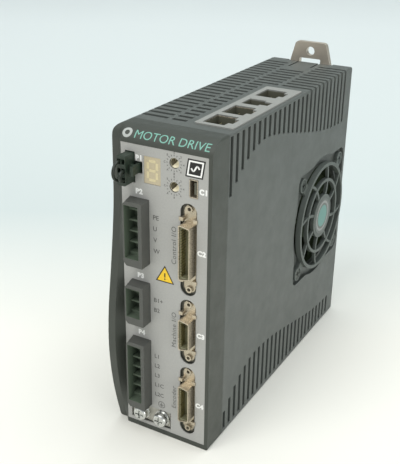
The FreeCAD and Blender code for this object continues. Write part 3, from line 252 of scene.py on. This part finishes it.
# ---- materials ----
HEADER_COLOR = (0.080, 0.083, 0.075)
EVEN = (1, 1, 1)  # stretch of a metal with no drawn lines
LOOKS = (
    (moulded, "case_plastic", (0.094, 0.104, 0.096), {"roughness": 0.5, "edge": 0.35}),
    (moulded, "fascia_plastic", (0.050, 0.056, 0.047), {"roughness": 0.48, "edge": 0.4}),
    (printed, "panel_overlay", (0.405, 0.404, 0.386), {"roughness": 0.52}),
    (printed, "label_overlay", (0.29, 0.295, 0.275), {"roughness": 0.5}),
    (sheet_metal, "plate_metal", (0.66, 0.59, 0.50), {"roughness": 0.42}),
    (sheet_metal, "earth_metal", (0.48, 0.47, 0.42), {"roughness": 0.42, "metallic": 0.6}),
    (sheet_metal, "heat_sink_metal", (0.45, 0.46, 0.47), {"roughness": 0.5}),
    (moulded, "fan_plastic", (0.028, 0.040, 0.020), {"roughness": 0.7, "specular": 0.12}),
    (moulded, "guard_plastic", (0.088, 0.102, 0.092), {"roughness": 0.5, "edge": 0.3}),
    (printed, "badge", (0.125, 0.137, 0.128), {"roughness": 0.45}),
    (sheet_metal, "dark_screw", (0.08, 0.09, 0.08), {"roughness": 0.4, "stretch": EVEN}),
    (sheet_metal, "screw_metal", (0.64, 0.65, 0.63),
     {"roughness": 0.24, "stretch": EVEN, "spread": 0.05}),
    (moulded, "connector_plastic", (0.022, 0.035, 0.024), {"roughness": 0.42}),
    (moulded, "insulator_resin", (0.180, 0.174, 0.104), {"roughness": 0.45}),
    (moulded, "wire_sleeve", (0.016, 0.022, 0.016), {"roughness": 0.35}),
    (moulded, "header_plastic", HEADER_COLOR, {"roughness": 0.5}),
    (sheet_metal, "contact_metal", (0.62, 0.56, 0.34), {"roughness": 0.3, "stretch": EVEN}),
    (printed, "display_resin", (0.52, 0.45, 0.31), {"roughness": 0.32}),
    (printed, "display_bars", (0.66, 0.58, 0.36), {"roughness": 0.3}),
    (moulded, "switch_cream", (0.86, 0.79, 0.58),
     {"roughness": 0.4, "spread": 0.03, "edge": 0.1}),
    (sheet_metal, "nickel_shell", (0.50, 0.44, 0.34),
     {"roughness": 0.28, "stretch": (1, 1, 5), "spread": 0.14, "edge": 0.2,
      "metallic": 0.75, "depth": 0.001}),
    (printed, "circuit_board", (0.02, 0.13, 0.05), {"roughness": 0.35}),
    (moulded, "module_resin", (0.03, 0.03, 0.03), {"roughness": 0.5}),
    (moulded, "capacitor_sleeve", (0.03, 0.03, 0.06), {"roughness": 0.3}),
    (moulded, "ferrite", (0.06, 0.06, 0.06), {"roughness": 0.6}),
    (sheet_metal, "winding", (0.62, 0.30, 0.12), {"stretch": (1, 12, 1)}),
)
MATERIALS = {name: kind(name, color, **look) for kind, name, color, look in LOOKS}

for part in frame["record"]["subparts"]:
    node = NODES[part["node"]]
    node.data.materials.clear()
    node.data.materials.append(MATERIALS[part["material_slot"]])


def header_material(node):
    """Header plastic, with the sockets between its walls painted a paler green: painted light in
    the dim recess.
    """
    rim, foot = 1.8 * MM, 3.6 * MM  # walls above and below the sockets
    offset = 0.5 * MM  # how far the sockets lie left of the header's middle
    half_width, overlap = 3.55 * MM, 0.05 * MM
    low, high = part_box(node)
    bottom, top = low.z + foot, high.z - rim
    centre = ((low.x + high.x) / 2 - offset, (bottom + top) / 2)
    reach = (half_width, (top - bottom) / 2 + overlap)
    return moulded(node, HEADER_COLOR, 0.5, painted_recess=(centre, reach, (0.098, 0.128, 0.092)))


for header in ("motor_header", "brake_header", "mains_header"):
    NODES[header].data.materials[0] = header_material(header)
jack_resin = moulded("jack_resin", (0.115, 0.115, 0.085), 0.45)
for socket in ("jack_inserts", "keyed_socket", "black_jack", "usb_tongue"):
    NODES[socket].data.materials[0] = jack_resin
# painted shade: colour of the plates that fill the gaps around the signal port flanges
port_shade_resin = moulded("port_shade_resin", (0.130, 0.125, 0.100), 0.5)

INK_LOOKS = (
    ("ink_white", (0.90, 0.90, 0.88), 0.5),
    ("ink_dark", (0.105, 0.105, 0.100), 0.5),
    ("ink_teal", (0.20, 0.44, 0.36), 0.45),
    ("ink_sea", (0.13, 0.28, 0.25), 0.45),
    ("ink_yellow", (0.88, 0.58, 0.03), 0.45),
    ("ink_black", (0.012, 0.012, 0.012), 0.45),
    ("ink_grey", (0.42, 0.44, 0.42), 0.45),
    ("ink_ash", (0.27, 0.28, 0.27), 0.45),
    # painted shadow: colour of the dark half laid over each rotor's dish
    ("ink_painted_shadow", (0.085, 0.072, 0.040), 0.5),
)
INKS = {name: printed(name, color, roughness) for name, color, roughness in INK_LOOKS}


# ---- pieces and flat shapes ----
def add_piece(name, mesh, body, material):
    """A new mesh piece that rides on a body."""
    piece = bpy.data.objects.new(name, mesh)
    bpy.context.scene.collection.objects.link(piece)
    mesh.materials.clear()
    mesh.materials.append(material)
    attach(piece, body)


def finished_mesh(name, bm):
    """A mesh from a bmesh, which is freed."""
    mesh = bpy.data.meshes.new(name)
    bm.to_mesh(mesh)
    bm.free()
    return mesh


def text_mesh(text, height, bold=0.0, spacing=1.0, align="CENTER"):
    """Flat letters on the XY plane, with capitals of the given height, centred or from the left."""
    curve = bpy.data.curves.new("letters", "FONT")
    curve.body = text
    curve.size = 1.0
    curve.offset = bold
    curve.space_character = spacing
    curve.resolution_u = 4
    holder = bpy.data.objects.new("letters", curve)
    bpy.context.scene.collection.objects.link(holder)
    depsgraph = bpy.context.evaluated_depsgraph_get()
    mesh = bpy.data.meshes.new_from_object(holder.evaluated_get(depsgraph))
    bpy.data.objects.remove(holder)
    xs = [v.co.x for v in mesh.vertices]
    ys = [v.co.y for v in mesh.vertices]
    start_x = min(xs) if align == "LEFT" else (min(xs) + max(xs)) / 2
    centre = Vector((start_x, (min(ys) + max(ys)) / 2, 0))
    factor = height / (max(ys) - min(ys))
    for v in mesh.vertices:
        v.co = (v.co - centre) * factor
    return mesh


def shape_mesh(loops):
    """Flat faces on the XY plane: each loop is a list of corners."""
    bm = bmesh.new()
    for loop in loops:
        bm.faces.new([bm.verts.new((x, y, 0)) for x, y in loop])
    return finished_mesh("shape", bm)


def circle_points(radius, count=48):
    """Corners around the origin, anticlockwise from the right."""
    angles = [2 * math.pi * i / count for i in range(count)]
    return [(radius * math.cos(angle), radius * math.sin(angle)) for angle in angles]


def band_loops(outer, inner):
    """Quads between two outlines with as many corners."""
    count = len(outer)
    return [[outer[i], outer[(i + 1) % count], inner[(i + 1) % count], inner[i]]
            for i in range(count)]


def ring_loops(outer, inner, count=48):
    """Quads of a flat ring."""
    return band_loops(circle_points(outer, count), circle_points(inner, count))


def bar(x0, y0, x1, y1, width):
    """Quad around a straight line."""
    along = Vector((x1 - x0, y1 - y0)).normalized() * (width / 2)
    across = Vector((-along.y, along.x))
    start, end = Vector((x0, y0)), Vector((x1, y1))
    return [tuple(corner) for corner in (start + across, start - across,
                                         end - across, end + across)]


def right(x_mm):
    """Frame X of a distance to the right of the case's left side."""
    return (x_mm - HALF_WIDTH) * MM


def on_panel(name, mesh, x_mm, z_mm, ink, layer=1, turn=0.0):
    """Lay flat millimetre shapes on the front panel, around a place given in millimetres."""
    spin = Matrix.Rotation(turn, 2)
    for v in mesh.vertices:
        across, up = spin @ Vector((v.co.x, v.co.y))
        v.co = Vector((right(x_mm + across), PANEL_Y - layer * INK, (z_mm + up) * MM))
    add_piece(name, mesh, "chassis", INKS[ink])


def panel_text(name, text, x_mm, z_mm, height, ink, turn=0.0, **style):
    """Letters printed on the front panel."""
    on_panel(name, text_mesh(text, height, **style), x_mm, z_mm, ink, turn=turn)


def caster(node):
    """Function that gives the world place where a ray first meets a CAD node."""
    target = NODES[node]
    tree = BVHTree.FromObject(target, bpy.context.evaluated_depsgraph_get())
    into = target.matrix_world.inverted()

    def cast(start, direction):
        hit = tree.ray_cast(into @ start, into.to_3x3() @ direction)[0]
        if hit is None:
            raise ValueError("a printed mark misses " + node)
        return target.matrix_world @ hit

    return cast


# ---- marks on the front panel ----
def port_marks():
    """Names of the ports, in white."""
    for name, x, z in PORT_NAMES:
        panel_text("mark_" + name, name, x, z, PORT_HEIGHT, "ink_white", bold=0.07, spacing=1.15)


def pole_marks():
    """Names of the poles beside the power sockets, and captions of the signal ports."""
    for top, pitch, marks in POLE_ROWS:
        for row, mark in enumerate(marks):
            panel_text("mark_pole_" + mark.strip("+"), mark, POLE_X, top - pitch * row,
                       POLE_HEIGHT, "ink_dark", align="LEFT", bold=0.01)
    for caption, z in CAPTIONS:
        panel_text("caption_" + caption.split()[0], caption, CAPTION_X, z, CAPTION_HEIGHT,
                   "ink_dark", turn=math.radians(90), spacing=1.1)


def dial_marks():
    """Sixteen ticks around each code switch, with a numeral at every other one."""
    count, inner, outer, width = 16, 3.0, 3.75, 0.3
    numeral_radius, numeral_height = 4.5, 0.95
    for level, node in (("upper", "upper_switch_rotor"), ("lower", "lower_switch_rotor")):
        place = middle(node)
        x = place.x / MM + HALF_WIDTH
        z = place.z / MM
        ticks = []
        for index in range(count):
            angle = math.radians(90 - 360 / count * index)
            across, up = math.cos(angle), math.sin(angle)
            ticks.append(bar(inner * across, inner * up, outer * across, outer * up, width))
            if index % 2 == 0:
                panel_text("dial_%s_%02d" % (level, index), "%X" % index,
                           x + numeral_radius * across, z + numeral_radius * up,
                           numeral_height, "ink_dark", bold=0.02)
        on_panel("dial_%s_ticks" % level, shape_mesh(ticks), x, z, "ink_dark")
        dish_painted_shadow(level, node)


def dish_painted_shadow(level, node):
    """Painted shadow: a dark half laid over the rotor's dish, where the dish's upper left lies in
    shade. It rides on the switch.
    """
    rings, sectors = 8, 12
    hollow, width = 0.1, 1.9  # millimetres: the bare middle, and the band around it
    first_angle = 50  # degrees from the right, where the half begins
    in_front = -0.2  # metres: a Y well in front of the drive
    centre = middle(node)
    cast = caster(node)
    bm = bmesh.new()
    rows = []
    for step in range(rings + 1):
        radius = (hollow + width * step / rings) * MM
        row = []
        for turn in range(sectors + 1):
            angle = math.radians(first_angle + 180 / sectors * turn)
            start = Vector((centre.x + radius * math.cos(angle), in_front,
                            centre.z + radius * math.sin(angle)))
            row.append(bm.verts.new(cast(start, Vector((0, 1, 0))) - Vector((0, INK, 0))))
        rows.append(row)
    for inner, outer in zip(rows, rows[1:]):
        for i in range(sectors):
            bm.faces.new((inner[i], outer[i], outer[i + 1], inner[i + 1]))
    add_piece("painted_shadow_" + level, finished_mesh("painted_shadow_mesh", bm), level + "_switch",
              INKS["ink_painted_shadow"])


def earth_mark():
    """The usual sign for an earth terminal, in a ring."""
    stroke = 0.28
    lines = [bar(0, 1.3, 0, 0.1, stroke)]
    lines += [bar(-reach, level, reach, level, stroke)
              for reach, level in ((1.1, 0.0), (0.75, -0.5), (0.35, -1.0))]
    on_panel("mark_earth", shape_mesh(lines), *EARTH_PLACE, "ink_dark", layer=2)
    ring = ring_loops(outer=1.85, inner=1.55)
    on_panel("mark_earth_ring", shape_mesh(ring), *EARTH_PLACE, "ink_dark")


def caution_mark():
    """Plain yellow triangle with a black edge and a bar."""
    def triangle(size):
        foot, tip = -size * 0.58, size * 1.15
        return [(-size, foot), (size, foot), (0, tip)]

    width = 0.62
    strokes = [bar(0, 1.7, 0, -0.3, width), bar(0, -0.8, 0, -1.5, width)]
    on_panel("caution_edge", shape_mesh([triangle(4.7)]), *CAUTION_PLACE, "ink_black")
    on_panel("caution_face", shape_mesh([triangle(3.85)]), *CAUTION_PLACE, "ink_yellow", layer=2)
    on_panel("caution_bar", shape_mesh(strokes), *CAUTION_PLACE, "ink_black", layer=3)


def badge_mark():
    """Black badge with a white edge and a sine wave: an alternating current sign."""
    def slanted(half_w, half_h):
        lean = 0.16 * half_h
        return [(-half_w - lean, -half_h), (half_w - lean, -half_h),
                (half_w + lean, half_h), (-half_w + lean, half_h)]

    half_wave, rise, stroke, count = 1.9, 1.1, 0.75, 16
    xs = [-half_wave + 2 * half_wave * i / count for i in range(count + 1)]
    points = [(x, rise * math.sin(x * math.pi / half_wave)) for x in xs]
    wave = [bar(*start, *end, stroke) for start, end in zip(points, points[1:])]
    edge = band_loops(slanted(3.45, 3.3), slanted(2.75, 2.6))
    on_panel("badge_back", shape_mesh([slanted(4.1, 3.9)]), *BADGE_PLACE, "ink_black")
    on_panel("badge_edge", shape_mesh(edge + wave), *BADGE_PLACE, "ink_white", layer=2)


# ---- marks on the header band and on the fan grille ----
def slice_mesh(mesh, step, limit):
    """Cut a flat mesh along level lines, so that it can bend."""
    bm = bmesh.new()
    bm.from_mesh(mesh)
    level = -limit
    while level <= limit:
        geometry = bm.verts[:] + bm.edges[:] + bm.faces[:]
        bmesh.ops.bisect_plane(bm, geom=geometry, plane_co=(0, level, 0), plane_no=(0, 1, 0))
        level += step
    bm.to_mesh(mesh)
    bm.free()


def header_mark(name, mesh, x_mm, ink):
    """Wrap flat millimetre shapes onto the curved top band of the fascia."""
    strip, half_height = 0.4, 2.4
    band_y, band_z = 1.75, 146.0  # millimetres: behind the panel, and above the foot
    outside = 20  # millimetres: how far out the rays start
    layers = 2
    slice_mesh(mesh, strip, half_height)
    cast = caster("front_fascia")
    inward = Vector((0, 1, -1)).normalized()
    upward = Vector((0, 1, 1)).normalized()
    centre = Vector((0, PANEL_Y + band_y * MM, band_z * MM))
    for v in mesh.vertices:
        start = centre + upward * v.co.y * MM - inward * outside * MM
        start.x = right(x_mm + v.co.x)
        v.co = cast(start, inward) - inward * (layers * INK)
    add_piece(name, mesh, "chassis", INKS[ink])


def header_marks():
    """Generic name on the band, and a plain ring where a mark would be."""
    name = text_mesh("MOTOR DRIVE", HEADER_NAME_HEIGHT)
    header_mark("header_name", name, HEADER_NAME_X, "ink_teal")
    ring = shape_mesh(ring_loops(outer=2.3, inner=1.1, count=32))
    header_mark("header_ring", ring, HEADER_RING_X, "ink_grey")


def guard_marks():
    """Teal spot and pale ring printed on the disc in the middle of the fan grille."""
    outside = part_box("guard_badge")[1].x + INK
    place = middle("guard_badge")
    for name, loops, ink in (("ring", ring_loops(outer=8.4, inner=7.2), "ink_ash"),
                             ("spot", [circle_points(radius=6.0)], "ink_sea")):
        mesh = shape_mesh(loops)
        for v in mesh.vertices:
            v.co = Vector((outside, place.y + v.co.x * MM, place.z + v.co.y * MM))
        add_piece("guard_badge_" + name, mesh, "chassis", INKS[ink])


# ---- painted shade: dark plates behind the signal ports ----
def plate_mesh(outline, front, back):
    """Closed plate between two Y levels. Its outline runs anticlockwise, seen from the front."""
    bm = bmesh.new()
    near = [bm.verts.new((x, front, z)) for x, z in outline]
    far = [bm.verts.new((x, back, z)) for x, z in outline]
    bm.faces.new(near)
    bm.faces.new([far[-i] for i in range(len(far))])
    for i in range(len(outline)):
        bm.faces.new((near[i - 1], far[i - 1], far[i], near[i]))
    return finished_mesh("port_shade_plate_mesh", bm)


def port_shade_plates():
    """Dark resin plate behind each signal port: painted shade that fills the gap around its flange,
    in place of the shaded flange end.
    """
    margin, recess, thickness = 1.5 * MM, 0.5 * MM, 0.4 * MM
    for node in ("controller_shell", "machine_shell", "feedback_shell"):
        low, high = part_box(node)
        centre = (low + high) / 2
        radius = (high.x - low.x) / 2 + margin
        rise = (high.z - low.z) / 2 + margin - radius
        outline = [(centre.x + x, centre.z + (rise if z >= 0 else -rise) + z)
                   for x, z in circle_points(radius)]
        front = high.y - recess
        add_piece("port_shade_plate_" + node.split("_")[0],
                  plate_mesh(outline, front, front + thickness), "chassis",
                  port_shade_resin)


port_marks()
pole_marks()
dial_marks()
earth_mark()
caution_mark()
badge_mark()
header_marks()
guard_marks()
port_shade_plates()


# ---- stage, lights and camera, in metres ----
def cyclorama():
    """Pale floor that is greyer just behind the drive, and curves up into a pale wall."""
    reach, far, bend, wall_top = 16.0, 2.6, 1.2, 9.0
    profile = [(-reach, 0.0), (far, 0.0)]
    profile += [(far + bend * math.sin(a), bend * (1 - math.cos(a)))
                for a in [math.radians(10 * i) for i in range(1, 10)]]
    profile.append((far + bend, wall_top))
    bm = bmesh.new()
    rows = [[bm.verts.new((x, y, z)) for x in (-reach, reach)] for y, z in profile]
    for low, high in zip(rows, rows[1:]):
        bm.faces.new((low[0], low[1], high[1], high[0])).smooth = True
    mesh = finished_mesh("backdrop", bm)
    backdrop = bpy.data.objects.new("backdrop", mesh)
    bpy.context.scene.collection.objects.link(backdrop)
    azimuth = math.radians(29.4)  # faces the camera
    backdrop.matrix_world = Matrix.Rotation(azimuth, 4, "Z")
    m = Maker("backdrop", (0.86, 0.85, 0.78), 0.8, specular=0.2)
    m.set("Base Color", m.colors(m.parts()["Y"], (0.02, (0.86, 0.85, 0.79)),
                                 (0.20, (0.63, 0.69, 0.68)), (1.0, (0.775, 0.83, 0.825))))
    m.set("Roughness", m.span(m.noise(6), 0.75, 0.9))
    mesh.materials.append(m.material)


def area_light(name, location, size, power, color):
    """A rectangular lamp that faces the middle of the drive."""
    data = bpy.data.lights.new(name, "AREA")
    data.shape = "RECTANGLE"
    data.size, data.size_y = size
    data.energy = power
    data.color = color
    lamp = bpy.data.objects.new(name, data)
    lamp.location = location
    lamp.rotation_mode = "QUATERNION"
    target = Vector((0, 0, 0.07))
    lamp.rotation_quaternion = (target - Vector(location)).to_track_quat("-Z", "Y")
    bpy.context.scene.collection.objects.link(lamp)


def build_world():
    """Even, slightly blue light from all around."""
    world = bpy.data.worlds.new("studio")
    bpy.context.scene.world = world
    world.use_nodes = True
    background = world.node_tree.nodes["Background"]
    background.inputs["Color"].default_value = (0.93, 0.97, 1.0, 1)
    background.inputs["Strength"].default_value = 0.5
    bpy.context.scene.view_settings.view_transform = "Standard"


def build_camera():
    """Camera at the photograph's viewing angle."""
    azimuth, elevation, roll = (math.radians(a) for a in (29.41, 24.44, 0.80))
    place = Vector((0.1673, -0.3400, 0.2466))
    back = Vector((math.sin(azimuth) * math.cos(elevation),
                   -math.cos(azimuth) * math.cos(elevation), math.sin(elevation)))
    side = Vector((math.cos(azimuth), math.sin(azimuth), 0))
    up = back.cross(side)
    across = side * math.cos(roll) + up * math.sin(roll)
    above = up * math.cos(roll) - side * math.sin(roll)
    data = bpy.data.cameras.new("camera")
    data.lens = 62.68
    data.sensor_width = 36.0
    data.clip_start = 0.01
    data.clip_end = 50
    camera = bpy.data.objects.new("camera", data)
    turn = Matrix((across, above, back)).transposed().to_4x4()
    camera.matrix_world = Matrix.Translation(place) @ turn
    bpy.context.scene.collection.objects.link(camera)
    bpy.context.scene.camera = camera


cyclorama()
area_light("key", (-0.35, -1.35, 1.9), (1.4, 1.4), 24.5, (1.0, 0.99, 0.96))
area_light("top", (0.2, 0.4, 2.1), (1.8, 1.8), 26, (0.97, 1.0, 1.0))
area_light("side", (1.6, -0.5, 0.35), (1.2, 0.7), 7.5, (1.0, 1.0, 0.98))
build_world()
build_camera()
